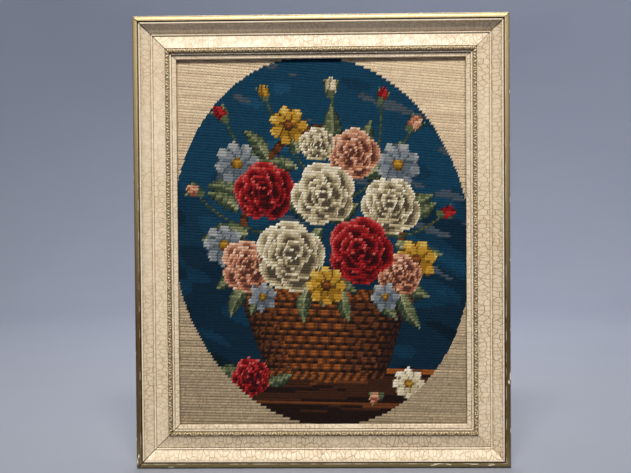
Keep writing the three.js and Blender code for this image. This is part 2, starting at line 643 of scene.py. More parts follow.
GESSO = broken_gesso()
WOOD = bare_wood()
OLD_GLUE = new_finish(
    "old_glue", Roughness=0.8, Base_Color=colour("#2a1b10"), Specular_IOR_Level=0.2
)
print("finishes:", GESSO.name, WOOD.name, OLD_GLUE.name)

# %% [markdown]
# ## Planing and sawing a rail
#
# The section is drawn as one face and extruded to a straight bar, as the moulding leaves the
# planer. Its sharp arrises are rounded with a small bevel, and then both ends are sawn off at 45
# degrees with a bisecting plane. Bevelling first means that the saw cuts clean through it.

# %% Straight bar and mitres
ARRIS = 0.22 * MM
SHARP = radians(35)
CLOSED = 0.06 * MM  # the gap that is left at the back of a mitre
ACROSS_MITRE = 2 ** 0.5 / 2


def plane_bar(length):
    """A straight bar of moulding along X, its outer edge on z = 0 and its front facing -Y."""
    bm = bmesh.new()
    girth = bm.verts.layers.float.new("girth")
    outline = []
    for (inward, height), so_far in zip(SECTION, GIRTHS):
        vertex = bm.verts.new((-length / 2, -height * MM, inward * MM))
        vertex[girth] = so_far * MM
        outline.append(vertex)
    draw_out(bm, outline, length)
    face_outwards(bm)
    return bm


def round_arrises(bm):
    """Bevels the sharp edges that stand out along the front.

    Where two bevels meet on a low step, their edges run together and are merged.
    """
    sharp = []
    for edge in bm.edges:
        a, b = edge.verts
        is_lengthwise = abs(a.co.x - b.co.x) > 0.1
        is_front = -a.co.y > (RABBET_DEPTH + 1) * MM
        if is_lengthwise and is_front and edge.calc_face_angle_signed(0) > SHARP:
            sharp.append(edge)
    bmesh.ops.bevel(
        bm, geom=sharp, offset=ARRIS, offset_type="OFFSET", segments=2, profile=0.5,
        affect="EDGES", clamp_overlap=True, material=-1,
    )
    bmesh.ops.remove_doubles(bm, verts=bm.verts[:], dist=0.1 * ARRIS)
    return len(sharp)


def everything(bm):
    return bm.verts[:] + bm.edges[:] + bm.faces[:]


def saw_mitre(bm, length, end, gap):
    """Saws one end (1 or -1) at 45 degrees and closes the cut. The joint gapes at the front."""
    at = Vector((end * (length / 2 - CLOSED * ACROSS_MITRE), 0, 0))
    gape = (gap - CLOSED) * ACROSS_MITRE / (MOULDING_DEPTH * MM)
    cut = bmesh.ops.bisect_plane(
        bm, geom=everything(bm), plane_co=at, plane_no=(end, -gape, 1), clear_outer=True
    )
    bmesh.ops.holes_fill(bm, edges=of_kind(cut["geom_cut"], bmesh.types.BMEdge), sides=0)


def score(bm, at, slant):
    """Adds a line of edges across the bar, without cutting it."""
    bmesh.ops.bisect_plane(bm, geom=everything(bm), plane_co=(at, 0, 0), plane_no=(1, 0, slant))


# %% [markdown]
# ## Maps on a rail
#
# The paint follows a map whose two directions are metres along the rail and metres round its
# section. A second map folds the long bar in two at its middle, so that it fills a square, which
# is what a baked copy of the paint needs.

# %% Rail maps and finishes
def is_back(face):
    return all(loop.vert.co.y > -0.01 * MM for loop in face.loops)


def lay_rail_maps(bm, length, offset):
    """The square map leaves thin margins, and a strip on the right for the sawn ends."""
    girth = bm.verts.layers.float["girth"]
    follow = bm.loops.layers.uv.new("moulding")
    square = bm.loops.layers.uv.new("OFBake")
    for face in bm.faces:
        is_end = abs(face.normal.x) > 0.3
        right_half = face.calc_center_median().x > 0
        for loop in face.loops:
            x, y, z = loop.vert.co
            around = loop.vert[girth]
            if is_back(face) and z < RABBET_SIDE * MM / 2:
                around = FULL_GIRTH * MM
            along = 0.95 * abs(x) / (length / 2)
            if is_end:
                along = 0.96 + 0.03 * z / (MOULDING_WIDTH * MM)
                around = -4 * y
            across = 0.02 + 0.96 * around / (FULL_GIRTH * MM) + right_half
            loop[square].uv = (0.01 + along, across / 2)
            loop[follow].uv = (x + offset, around)


def finish_of(face):
    """Which finish a face of a rail has: 0 cream, 1 gilt, 2 wood, 3 old glue."""
    centre = face.calc_center_median()
    inward, height = centre.z / MM, -centre.y / MM
    if abs(face.normal.x) > 0.3:
        return 3
    if is_back(face) or (height < RABBET_DEPTH and inward > 1):
        return 2
    return int(inward < RIM_WIDTH)


# %% [markdown]
# ## Chips on the rim
#
# Knocks have broken flakes off the rim down to the gesso. Each chip is cut with a rough stone: a
# round ball made lumpy and pressed into the arris. A boolean cut leaves a hollow with a crisp
# broken edge, which painting the chip on could not, and the hollow takes the stone's material.

# %% Chip stones
# in millimetres: place along the side, in from the outer edge, half length and half width
CHIPS = {
    "right": (
        (202, 0.6, 3.2, 1.1), (56, 0.4, 4.0, 1.2), (-25, 0.5, 3.0, 1.0), (-183, 0.9, 7.5, 1.9),
        (-190, 2.8, 3.5, 1.4), (-257, 0.5, 3.5, 1.3), (270, 0.3, 2.2, 0.8), (-120, 0.2, 2.0, 0.8),
        (130, 0.2, 1.8, 0.7),
    ),
    "bottom": (
        (-207, 2.6, 5.0, 1.2), (152, 5.8, 7.5, 0.9), (170, 6.0, 4.0, 0.7), (228, 5.2, 5.0, 1.1),
        (205, 6.1, 6.0, 0.6), (-120, 0.3, 2.5, 0.9), (60, 0.2, 2.0, 0.8),
    ),
    "left": (
        (-297, 1.6, 4.0, 1.6), (-290, 3.6, 2.6, 1.0), (-268, 0.4, 2.0, 0.8),
        (-150, 0.3, 1.8, 0.7), (90, 0.3, 2.2, 0.8),
    ),
    "top": ((-180, 0.3, 2.0, 0.7), (60, 0.2, 1.8, 0.6), (215, 0.4, 2.4, 0.9)),
}
# A place along a side is measured to the right or upwards, but a bottom rail that was turned to
# the top or the left runs the other way.
RUNS = {"bottom": 1, "right": 1, "top": -1, "left": -1}
STONE_LUMPS = 0.45
STONE_TILT = 14
STONE_SUNK = 0.1


def chip_stones(side):
    """The stones of one side. Every stone has its own lumps and tilt, numbered over all sides."""
    bm = bmesh.new()
    chips = [(where, chip) for where, chips in CHIPS.items() for chip in chips]
    for count, (where, (along, inward, half_long, half_wide)) in enumerate(chips):
        if where != side:
            continue
        stone = bmesh.ops.create_icosphere(bm, subdivisions=3, radius=1.0)["verts"]
        for vertex in stone:
            lump = noise.noise(vertex.co * 1.7 + Vector((count * 7.3, 0, 0)))
            vertex.co *= 1 + STONE_LUMPS * lump
        size = Vector((half_long, half_wide * 0.85, half_wide)) * MM
        bmesh.ops.scale(bm, vec=size, verts=stone)
        rotate(bm, stone, STONE_TILT * sin(count * 2.4), "Y")
        height = float(front_height(inward)) + STONE_SUNK
        shift(bm, stone, Vector((RUNS[side] * along, -height, inward)) * MM)
    face_outwards(bm)
    return piece_from(bm, "stones_" + side, GESSO)


def knock_chips(rail, stones):
    cut = rail.modifiers.new("chips", "BOOLEAN")
    cut.object = stones
    cut.operation = "DIFFERENCE"
    cut.solver = "EXACT"
    cut.material_mode = "TRANSFER"
    depsgraph = bpy.context.evaluated_depsgraph_get()
    rail.data = bpy.data.meshes.new_from_object(
        rail.evaluated_get(depsgraph), preserve_all_data_layers=True, depsgraph=depsgraph
    )
    rail.modifiers.clear()
    bpy.data.objects.remove(stones)


# %% Four rails
# side, turn about Y from a bottom rail in degrees, length, reach from the middle, and the
# millimetres that its two ends gape
SIDES = (
    ("bottom", 0, OUTER_WIDTH, OUTER_HEIGHT / 2, (1.3, 0.3)),
    ("right", -90, OUTER_HEIGHT, OUTER_WIDTH / 2, (0.3, 0.8)),
    ("top", 180, OUTER_WIDTH, OUTER_HEIGHT / 2, (0.8, 1.3)),
    ("left", 90, OUTER_HEIGHT, OUTER_WIDTH / 2, (1.3, 1.3)),
)
MITRE_LINE = 4 * MM  # a line of points is scored this far from each mitre
MAP_STEP = 1.7  # metres between the rails on the paint's map, so that no two have the same cracks


def set_in_place(made, turn, reach, crease):
    """Turns a piece made as a bottom one to its side. Edges over the crease angle stay sharp."""
    middle = Matrix.Translation((0, BACK, MIDDLE_HEIGHT)) @ Matrix.Rotation(radians(turn), 4, "Y")
    made.data.set_sharp_from_angle(angle=radians(crease))
    made.data.transform(middle @ Matrix.Translation((0, 0, -reach)))
    made.data.update()


def make_rail(count, side, turn, length, reach, gaps):
    bm = plane_bar(length)
    rounded = round_arrises(bm)
    score(bm, 0, 0)
    for end, gap in zip((-1, 1), gaps):
        score(bm, end * (length / 2 - MITRE_LINE), end)
        saw_mitre(bm, length, end, gap * MM)
    face_outwards(bm)
    lay_rail_maps(bm, length, count * MAP_STEP)
    for face in bm.faces:
        face.material_index = finish_of(face)
    smooth(bm)
    rail = piece_from(bm, "painted_rail_" + side, CREAM, RIM_GILT, WOOD, OLD_GLUE)
    knock_chips(rail, chip_stones(side))
    lowest, highest = mark_hollows(rail)
    set_in_place(rail, turn, reach, crease=32)
    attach(rail, "root")
    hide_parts("rail_" + side)
    span = f"{lowest:.2f} to {highest:.2f} mm"
    print(f"{rail.name}: {triangles(rail)} triangles, {rounded} arrises, hollow {span}")
    return rail


RAILS = [make_rail(count, *side) for count, side in enumerate(SIDES)]

# %% [markdown]
# ## The cast trim
#
# A narrow strip of cast ornament lies in the bed of the moulding: pairs of slanting leaves that
# cross a rounded rod, with two pairs of berries between them, every 29 mm. One repeat is
# modelled from drawn-out spheres bent over the rod, and copied along. That keeps it easy to
# change, and each leaf has few faces, because there are hundreds.

# %% One repeat of the ornament
# in millimetres
REPEAT = 29.2
ROD_HALF_WIDTH = 3.0
ROD_RISE = 3.6
ROD_FLATS = 12
bed_start, bed_width, bed_height = member_span("trim bed")
TRIM_BASE = bed_height + GAP
TRIM_MIDDLE = bed_start + bed_width / 2
# place along, lean from straight across in degrees, half length, half width, half thickness
LEAVES = (
    (0.0, 38, 3.5, 1.10, 1.15), (3.9, 38, 3.5, 1.10, 1.15), (8.8, -38, 3.5, 1.10, 1.15),
    (18.2, 38, 3.5, 1.10, 1.15), (23.6, -38, 3.5, 1.10, 1.15),
)
# place along, place across, radius
BERRIES = ((12.4, 1.35, 1.3), (12.4, -1.35, 1.3), (15.1, 1.35, 1.3), (15.1, -1.35, 1.3))


def rod_rise(across):
    """How high the rod is, so far from its middle line."""
    share = min(abs(across) / ROD_HALF_WIDTH, 1.0)
    return ROD_RISE * (1 - share ** 2) ** 0.5


def bend_over_rod(verts):
    for vertex in verts:
        vertex.co.y -= rod_rise(vertex.co.z)


def ornament_repeat():
    """One repeat, flat base on y = 0, in millimetres."""
    bm = bmesh.new()
    for along, lean, half_long, half_wide, half_thick in LEAVES:
        leaf = bmesh.ops.create_uvsphere(bm, u_segments=8, v_segments=7, radius=1.0)["verts"]
        for vertex in leaf:
            vertex.co.x *= 1 - 0.35 * vertex.co.z ** 2
        bmesh.ops.scale(bm, vec=(half_wide, half_thick, half_long), verts=leaf)
        rotate(bm, leaf, lean, "Y")
        bend_over_rod(leaf)
        shift(bm, leaf, (along, 0, 0))
    for along, across, radius in BERRIES:
        berry = bmesh.ops.create_uvsphere(bm, u_segments=8, v_segments=5, radius=radius)["verts"]
        shift(bm, berry, (0, 0.15, across))
        bend_over_rod(berry)
        shift(bm, berry, (along, 0, 0))
    mesh = bpy.data.meshes.new("ornament_repeat")
    bm.to_mesh(mesh)
    bm.free()
    return mesh


ORNAMENT = ornament_repeat()
print("one repeat:", len(ORNAMENT.polygons), "faces")

# %% Rod with its ornament
def draw_rod(bm, length):
    """A rod with a flat base, drawn along X in millimetres."""
    turns = [pi * k / ROD_FLATS for k in range(ROD_FLATS + 1)]
    rim = [(-length / 2, -ROD_RISE * sin(turn), ROD_HALF_WIDTH * cos(turn)) for turn in turns]
    draw_out(bm, [bm.verts.new(place) for place in rim], length)


def cast_strip(length):
    bm = bmesh.new()
    draw_rod(bm, length)
    repeats = int(length / REPEAT) + 2
    for count in range(repeats):
        before = len(bm.verts)
        bm.from_mesh(ORNAMENT)
        bm.verts.ensure_lookup_table()
        shift(bm, bm.verts[before:], ((count - repeats / 2) * REPEAT, 0, 0))
    face_outwards(bm)
    shift(bm, bm.verts, (0, -TRIM_BASE, TRIM_MIDDLE))
    bmesh.ops.scale(bm, vec=(MM, MM, MM), verts=bm.verts)
    return bm


TRIM_ROWS = 8
TRIM_ROW_WIDE = 7.5


def lay_trim_map(bm, length):
    """Folds the long strip into rows, so that it fills a square."""
    square = bm.loops.layers.uv.new("OFBake")
    row_length = length / TRIM_ROWS
    for face in bm.faces:
        row = int((face.calc_center_median().x + length / 2) / row_length)
        row = min(max(row, 0), TRIM_ROWS - 1)
        reach = [loop.vert.co.x for loop in face.loops]
        is_long = max(reach) - min(reach) > row_length
        for loop in face.loops:
            x, _, z = loop.vert.co
            off_middle = z / MM - TRIM_MIDDLE
            if is_long:
                loop[square].uv = (x / length + 0.5, 0.97 + 0.001 * off_middle)
            else:
                along = (x + length / 2 - row * row_length) / row_length
                across = off_middle / TRIM_ROW_WIDE + 0.5
                loop[square].uv = (0.06 + 0.88 * along, (row + across) / (TRIM_ROWS + 1))


def mark_relief(made):
    """Dirt and painted shade lie low between the leaves, so the attribute runs from 1 on the rod
    to 0 on top.
    """
    _, depth, inward = places_of(made.data).T / MM
    across = np.clip((inward - TRIM_MIDDLE) / ROD_HALF_WIDTH, -1, 1)
    above = -depth - TRIM_BASE - ROD_RISE * np.sqrt(1 - across ** 2)
    write_numbers(made.data, "hollow", np.clip(1.05 - above / 0.85, -0.3, 1.2))


def make_trim(side, turn, length, reach, gaps):
    bm = cast_strip(length / MM)
    for end, gap in zip((-1, 1), gaps):
        saw_mitre(bm, length, end, gap * MM)
    lay_trim_map(bm, length)
    smooth(bm)
    trim = piece_from(bm, "cast_trim_" + side, TRIM_GILT)
    mark_relief(trim)
    set_in_place(trim, turn, reach, crease=60)
    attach(trim, "root")
    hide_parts("trim_" + side)
    print(f"{trim.name}: {triangles(trim)} triangles")
    return trim


TRIMS = [make_trim(*side) for side in SIDES]

# %% [markdown]
# ## The canvas and its stitches
#
# The wool is worked on a canvas of threads 1.87 mm apart. Each slanting stitch crosses one
# thread sideways and two upwards, so a row is 3.73 mm high. Stitching pulls a canvas out of
# square: here the rows fall to the right, most at the top, and the columns lean. So the grid is
# laid out straight first, and then sheared by slowly changing amounts.

# %% Places of the stitches
# in millimetres
THREAD = 1.87
ROW = 3.73
SIGHT_WIDTH = OUTER_WIDTH / MM - 2 * MOULDING_WIDTH
SIGHT_HEIGHT = OUTER_HEIGHT / MM - 2 * MOULDING_WIDTH
UNDER_LIP = 1.5
# millimetres in each millimetre
COLUMN_LEAN = 0.042
ROW_FALL_MIDDLE = 0.057
ROW_FALL_CHANGE = 0.037


def straight_grid():
    half_columns = int(SIGHT_WIDTH / 2 / THREAD) + 8
    half_rows = int(SIGHT_HEIGHT / 2 / ROW) + 6
    columns, rows = np.meshgrid(
        np.arange(-half_columns, half_columns), np.arange(-half_rows, half_rows)
    )
    return (columns.ravel() + 0.5) * THREAD, (rows.ravel() + 0.5) * ROW, rows.ravel()


def pull_out_of_square(along, up):
    """Where a point of the straight canvas lies once it is worked and stretched."""
    fall = ROW_FALL_MIDDLE + ROW_FALL_CHANGE * up / (SIGHT_HEIGHT / 2)
    return along - COLUMN_LEAN * up, up - fall * along


def is_worked(x, z):
    """The stitches run on a little under the lip of the frame."""
    return (abs(x) < SIGHT_WIDTH / 2 + UNDER_LIP) & (abs(z) < SIGHT_HEIGHT / 2 + UNDER_LIP)


grid_along, grid_up, grid_row = straight_grid()
stitch_x, stitch_z = pull_out_of_square(grid_along, grid_up)
shown = is_worked(stitch_x, stitch_z)
stitch_x, stitch_z, stitch_row = stitch_x[shown], stitch_z[shown], grid_row[shown]
STITCHES = stitch_x.size
# The design was drawn on the canvas, so it has gone out of square with it, by about half as much.
DESIGN_LEAN = 0.030
DESIGN_FALL = 0.028
X = stitch_x + DESIGN_LEAN * stitch_z
Z = stitch_z + DESIGN_FALL * stitch_x
print("stitches:", STITCHES)

# %% [markdown]
# ## The wools
#
# A needlepoint is worked in a few dozen wools, in families of up to five shades, light to dark.
# The picture is kept as two lists, one wool family and one shade for each stitch, and a motif
# dyes the stitches that it covers. Later motifs cover earlier ones, as on a painter's canvas.

# %% Wool families, each from light to dark
WOOLS = {
    "beige": ("#f6dfbc", "#ead2b0", "#d5be9c", "#c3ae8f", "#b3a083"),
    "sky": ("#1c5270", "#124560"),
    "ground": ("#0e3a53", "#0a2c40", "#081f2d"),
    "mist": ("#b4b6b4", "#8f959a", "#69747d", "#4b5965", "#344351"),
    "leaf": ("#b3b086", "#8a8e66", "#5f6b4b", "#3e4b38", "#252f28"),
    "cream": ("#fdf4df", "#eee1c2", "#ccbc96", "#98896a", "#5c5040"),
    "crimson": ("#d8655c", "#bd2b2d", "#93161b", "#610d13", "#35080d"),
    "peach": ("#f6d4b8", "#e5b190", "#cb8a68", "#985c46", "#5d362d"),
    "ochre": ("#e8c364", "#cc9c38", "#a1751f", "#6b4c18", "#432f0c"),
    "wicker": ("#cc8544", "#a05a26", "#703f22", "#432618", "#231410"),
}
FAMILIES = list(WOOLS)
wool = np.zeros(STITCHES, int)
shade = np.zeros(STITCHES)


def dye(covered, family, tone):
    """Gives the covered stitches a wool family, and a shade from 0, light, upwards."""
    tone = np.broadcast_to(tone, X.shape)[covered]
    wool[covered] = FAMILIES.index(family)
    shade[covered] = np.clip(tone, 0, len(WOOLS[family]) - 0.51)


def wander(x, z, seed):
    """Slow, smooth unevenness between about -1 and 1, from a few crossed waves."""
    first = np.sin(x * 0.031 + 1.7 * seed + 1.9 * np.sin(z * 0.023 + seed))
    second = np.sin(z * 0.047 - 0.9 * seed + 1.6 * np.sin(x * 0.041 - 2.1 * seed))
    third = np.sin((x + z) * 0.083 + 2.3 * seed)
    return (first + second + 0.5 * third) / 2.5


# %% [markdown]
# ## Oval ground and ledge
#
# The flowers stand in an oval of deep teal, a little larger than the opening of the frame, so the
# frame clips its sides. The corners outside it are plain beige, dyed darker towards the foot, and
# are worked last, up to the edge of the oval. A dark ledge crosses its foot.

# %% Ground
OVAL_HALF_WIDTH = 204
OVAL_HALF_HEIGHT = 253
IN_OVAL = (X / OVAL_HALF_WIDTH) ** 2 + (Z / OVAL_HALF_HEIGHT) ** 2 < 1
LEDGE_TOP = -176


def work_corners():
    darker_towards_foot = 3.1 * np.clip(0.5 - Z / SIGHT_HEIGHT, 0, 1) ** 1.3
    dye(~IN_OVAL, "beige", 0.3 + darker_towards_foot + 0.5 * wander(0.5 * stitch_x, 9 * stitch_z, 7.7))


def work_ground():
    glow = np.exp(-((X + 70) ** 2 + (Z - 120) ** 2) / 110 ** 2)
    tone = 2.4 - 1.1 * Z / OVAL_HALF_HEIGHT + 0.9 * wander(X, 1.9 * Z, 0.4) - 0.8 * glow
    dye(IN_OVAL & (tone < 2), "sky", tone)
    dye(IN_OVAL & (tone >= 2), "ground", tone - 2)
    cloud = wander(0.9 * X, 2.6 * Z, 2.2) + 0.5 * wander(2.2 * X, 4.4 * Z, 5.1)
    dye(IN_OVAL & (cloud > 0.8) & (Z > -60), "mist", 3.6 - 1.8 * (cloud - 0.8))


def work_ledge():
    grain = wander(0.35 * X, 7 * Z, 1.3) + 0.5 * wander(1.3 * X, 14 * Z, 3.4)
    dye(IN_OVAL & (Z < LEDGE_TOP), "wicker", 3.0 + 0.9 * grain + 0.35 * abs(X) / 120)
    dye(IN_OVAL & (abs(Z - LEDGE_TOP) < 2.6), "wicker", 1.2 + 0.5 * grain)
    dye(IN_OVAL & (Z < LEDGE_TOP - 48), "wicker", 3.9 + 0.6 * grain)
    dye(IN_OVAL & (abs(Z - LEDGE_TOP + 47) < 2.2), "wicker", 2.0)


# %% [markdown]
# ## Basket
#
# A wicker basket is woven in courses round upright stakes. Each course is a row of bulges that
# shifts by half a stake from the one below, and the bulges crowd together towards the sides
# because the basket is round. Its rim and foot are bound with a slanting braid.

# %% Basket and handle
BASKET_RIM = -78
BASKET_FOOT = -192
COURSE = 9.4


def along_curve(curve_x, curve_z, half_thick):
    """For each stitch, how far it is from a curve in half thicknesses, and how far along."""
    nearest = np.full(X.size, np.inf)
    place = np.zeros(X.size)
    for count, (x, z) in enumerate(zip(curve_x, curve_z)):
        away = np.hypot(X - x, Z - z)
        closer = away < nearest
        nearest[closer] = away[closer]
        place[closer] = count
    return nearest / half_thick, place / (len(curve_x) - 1)


def work_handle():
    turn = np.linspace(pi, 0, 150)
    away, place = along_curve(118 * np.cos(turn), BASKET_RIM + 232 * np.sin(turn), 5.4)
    twist = np.sin(place * 2 * pi * 34) > 0.2
    dye(away < 1, "wicker", 1.4 + 1.2 * away + 1.0 * twist)


def bind(half_long, half_tall, middle, lean, lightest, dark_from):
    """A slanting braid along the rim or the foot of the basket."""
    braid = abs((X * 0.085 + Z * lean) % 1 - 0.5) * 2
    covered = (abs(X) < half_long) & (abs(Z - middle) < half_tall)
    dye(covered, "wicker", lightest + 2.4 * braid + 1.0 * (X > dark_from))


def work_basket():
    up = np.clip((Z - BASKET_FOOT) / (BASKET_RIM - BASKET_FOOT), 0, 1)
    across = X / (74 + 40 * up ** 0.8)
    body = (abs(across) < 1) & (Z < BASKET_RIM) & (Z > BASKET_FOOT + 7 * (X / 80) ** 2)
    level = (Z - 5 * across ** 2) / COURSE
    round_side = np.arcsin(np.clip(across, -0.99, 0.99))
    stake = round_side * 17.2 / pi + 0.5 * (np.floor(level) % 2)
    bulge = abs(stake % 1 - 0.5) * 2
    tone = 1.2 + 1.7 * bulge ** 2 + 1.4 * (level % 1 < 0.36)
    dye(body, "wicker", tone + 1.5 * across ** 4 + 0.5 * (across > 0.3))
    bind(119, 7, BASKET_RIM + 5, 0.06, 0.6, 60)
    bind(78, 4.5, BASKET_FOOT + 6.5 + 7 * (X / 100) ** 2, -0.06, 0.8, 50)


# %% [markdown]
# ## Flowers and leaves
#
# A worked rose is rings of overlapping petals. Each petal has a light lip and darkens quickly
# towards the flower's heart, where the next ring covers it, and that edge of light on dark is
# what makes it read as a rose at this coarse scale. Leaves have a light rib and one light side.

# %% Motifs
LIT_FROM = radians(118)


def petal(middle_x, middle_z, turn, half_long, half_wide):
    """Where each stitch is on one petal: outwards, sideways, and 1 at its edge."""
    x, z = X - middle_x, Z - middle_z
    out = (x * cos(turn) + z * sin(turn)) / half_long
    side = (-x * sin(turn) + z * cos(turn)) / half_wide
    return out, side, out ** 2 + side ** 2


# reach from the heart, petals, half length and half width, as shares of the rose's size
ROSE_RINGS = (
    (0.58, 5, 0.42, 0.54), (0.44, 5, 0.36, 0.44), (0.30, 4, 0.29, 0.36), (0.17, 3, 0.22, 0.27),
    (0.06, 2, 0.13, 0.17),
)


def rose(x, z, size, turn, family, deep=0.0):
    for ring, (reach, petals, half_long, half_wide) in enumerate(ROSE_RINGS):
        for count in range(petals):
            way = radians(turn) + 2 * pi * (count + 0.45 * ring) / petals
            way += 0.16 * sin(3.1 * count + turn)
            grown = size * (1 + 0.07 * sin(5.3 * count + turn + ring))
            out, side, edge = petal(
                x + reach * grown * cos(way), z + reach * grown * sin(way), way,
                half_long * grown, half_wide * grown,
            )
            inwards = 1 - np.sqrt(edge)
            shaded = 0.55 - 0.75 * cos(way - LIT_FROM) + 0.15 * ring + deep
            fold = 0.5 * np.sin(6.5 * side + count) * (inwards < 0.5)
            tone = 0.15 + 5.4 * inwards - 1.3 * (out < 0) - 0.4 * (inwards < 0.07) + shaded + fold
            tone = np.where((inwards < 0.05) & (out < 0.25), 3.4 + deep, tone)
            dye(edge < 1, family, tone)
    dye(np.hypot(X - x, (Z - z) * 1.1) < 0.09 * size, family, 4.2)


def leaf(x, z, length, turn, deep=0.0, width=0.42):
    way = radians(turn)
    along = ((X - x) * cos(way) + (Z - z) * sin(way)) / length
    across = (-(X - x) * sin(way) + (Z - z) * cos(way)) / (0.5 * width * length)
    held = np.clip(along, 0, 1)
    across = across + 0.35 * np.sin(pi * held)
    half = np.where((along > 0) & (along < 1), np.sin(pi * held ** 0.82).clip(0) ** 0.8, 0)
    vein = (along * 5.2 - 0.75 * abs(across)) % 1 < 0.26
    tone = np.where(across * cos(way) > 0, 1.2, 2.7) + 1.0 * (abs(across) > 0.78 * half)
    tone = tone - 0.8 * vein + 0.8 * along
    rib = abs(across) < 0.13
    dye(abs(across) < half, "leaf", np.where(rib, 0.3 + 0.5 * along, tone) + deep)


def bloom(x, z, size, turn, petals, family, heart):
    """An open flower: plain petals round a heart of another wool."""
    for count in range(petals):
        way = radians(turn) + 2 * pi * count / petals
        middle_x, middle_z = x + 0.56 * size * cos(way), z + 0.56 * size * sin(way)
        out, side, edge = petal(middle_x, middle_z, way, 0.46 * size, 0.34 * size)
        dye(edge < 1, family, 1.1 - 1.0 * out + 1.2 * side ** 2 - 0.5 * cos(way - LIT_FROM))
        dye((edge < 1) & (edge > 0.8) & (side < -0.5), family, 3.3)
    inner = np.hypot(X - x, Z - z) / (0.26 * size)
    dye(inner < 1, heart, 0.6 + 2.2 * inner ** 2 + 0.8 * (Z < z))


def bud(x, z, size, turn, family):
    way = radians(turn)
    foot_x, foot_z = x - 0.9 * size * cos(way), z - 0.9 * size * sin(way)
    leaf(foot_x, foot_z, 1.9 * size, turn + 24, width=0.34)
    leaf(foot_x, foot_z, 1.9 * size, turn - 24, width=0.34)
    out, side, edge = petal(x, z, way, size, 0.62 * size)
    dye(edge < 1, family, 1.0 + 1.6 * abs(side + 0.25) - 0.5 * out)
    dye((edge < 1) & (abs(side - 0.25 + 0.3 * out) < 0.13), family, 3.4)
    cup_x, cup_z = x - 0.75 * size * cos(way), z - 0.75 * size * sin(way)
    _, side, edge = petal(cup_x, cup_z, way, 0.42 * size, 0.5 * size)
    dye(edge < 1, "leaf", 1.5 + 1.5 * abs(side))


def stem(x, z, end_x, end_z, bow):
    t = np.linspace(0, 1, 60)
    bowed = bow * 4 * t * (1 - t)
    curve_x = x + (end_x - x) * t - bowed * (end_z - z)
    curve_z = z + (end_z - z) * t + bowed * (end_x - x)
    away, _ = along_curve(curve_x, curve_z, 1.9)
    dye(away < 1, "leaf", 1.8 + 1.2 * (away > 0.4))


# %% [markdown]
# ## Arranging the bouquet
#
# The arrangement is a plain list for each kind of motif, placed from the middle of the oval in
# millimetres: stems and leaves behind, then the basket, then the blooms over its rim.

# %% Bouquet
# foot x and z, tip x and z, bow as a share of the length
STEMS = (
    (-30, 60, -128, 168, 0.10), (10, 80, 20, 205, -0.05), (40, 60, 128, 158, -0.08),
    (-60, 10, -168, 62, 0.12), (70, 10, 166, 40, -0.12), (-10, 90, -70, 196, 0.06),
    (60, 40, 88, 196, -0.04),
)
# foot x and z, length, turn in degrees, and for some how much deeper the shade is
BACK_LEAVES = (
    (-60, 80, 70, 142), (-95, 60, 62, 168), (-100, 10, 66, 190), (-92, -40, 62, 208),
    (60, 90, 72, 42), (98, 52, 60, 16), (100, 0, 66, -12), (92, -42, 62, -30),
    (-28, 120, 62, 116), (12, 122, 66, 84), (44, 112, 62, 62), (-70, 110, 52, 128),
    (84, 92, 58, 30), (-112, 40, 50, 150), (118, 36, 46, 28), (-10, 30, 50, 150),
    (10, 30, 50, 30), (-30, 100, 44, 170), (0, 20, 46, 250), (20, 10, 46, 300),
)
HANGING_LEAVES = (
    (-70, -62, 52, 232), (70, -60, 54, -56), (-22, -66, 46, 262), (26, -66, 44, -80),
    (104, -66, 56, -62), (-104, -62, 50, 240), (0, -40, 50, 270), (-8, -36, 46, 215),
    (12, -40, 46, -40),
)
FALLEN_LEAVES = (
    (-108, -192, 52, 168, 0.2), (-98, -196, 46, 205, 0.2), (-84, -196, 40, 20, 0.2),
    (100, -202, 50, -14, 0.2),
)
# middle x and z, half length, turn, wool
BUDS = (
    (-132, 172, 13, 128, "crimson"), (20, 212, 13, 88, "cream"), (132, 164, 13, 48, "peach"),
    (-172, 66, 12, 160, "peach"), (172, 44, 12, 15, "crimson"), (-72, 202, 11, 108, "ochre"),
    (90, 202, 11, 70, "crimson"),
)
# middle x and z, radius, turn, petals, wool, wool of the heart
BLOOMS = (
    (-112, 104, 30, 10, 8, "mist", "ochre"), (108, 108, 30, 25, 8, "mist", "ochre"),
    (-40, 158, 26, 0, 7, "ochre", "wicker"), (128, -22, 28, 12, 7, "ochre", "wicker"),
    (-134, -8, 28, 40, 8, "mist", "ochre"),
)
FRONT_BLOOMS = (
    (4, -60, 27, 0, 8, "ochre", "wicker"), (-84, -78, 20, 20, 6, "mist", "ochre"),
    (84, -74, 20, 5, 6, "mist", "ochre"),
)
# middle x and z, radius, turn, wool, and for some how much deeper the shade is
ROSES = (
    (-78, 66, 42, 20, "crimson"), (46, 122, 36, 75, "peach"), (-2, 132, 24, 15, "cream"),
    (94, 52, 41, 50, "cream"), (-104, -34, 36, 5, "peach"), (4, 62, 45, 33, "cream"),
    (104, -40, 30, 80, "peach", 0.2), (-44, -18, 50, 12, "cream", 0.1),
    (52, -14, 47, 64, "crimson"),
)


def work_all(motif, places):
    for place in places:
        motif(*place)


def work_bouquet():
    work_all(stem, STEMS)
    work_all(leaf, BACK_LEAVES)
    work_basket()
    work_all(leaf, HANGING_LEAVES)
    work_all(bud, BUDS)
    work_all(bloom, BLOOMS)
    work_all(rose, ROSES)
    work_all(bloom, FRONT_BLOOMS)


def work_fallen_flowers():
    work_all(leaf, FALLEN_LEAVES)
    rose(-104, -190, 27, 40, "crimson")
    bloom(112, -192, 22, 0, 8, "cream", "ochre")
    bud(66, -212, 10, 200, "peach")


work_ground()
work_ledge()
work_handle()
work_bouquet()
work_fallen_flowers()
work_corners()
for number, family in enumerate(FAMILIES):
    print(f"{family}: {int((wool == number).sum())} stitches")

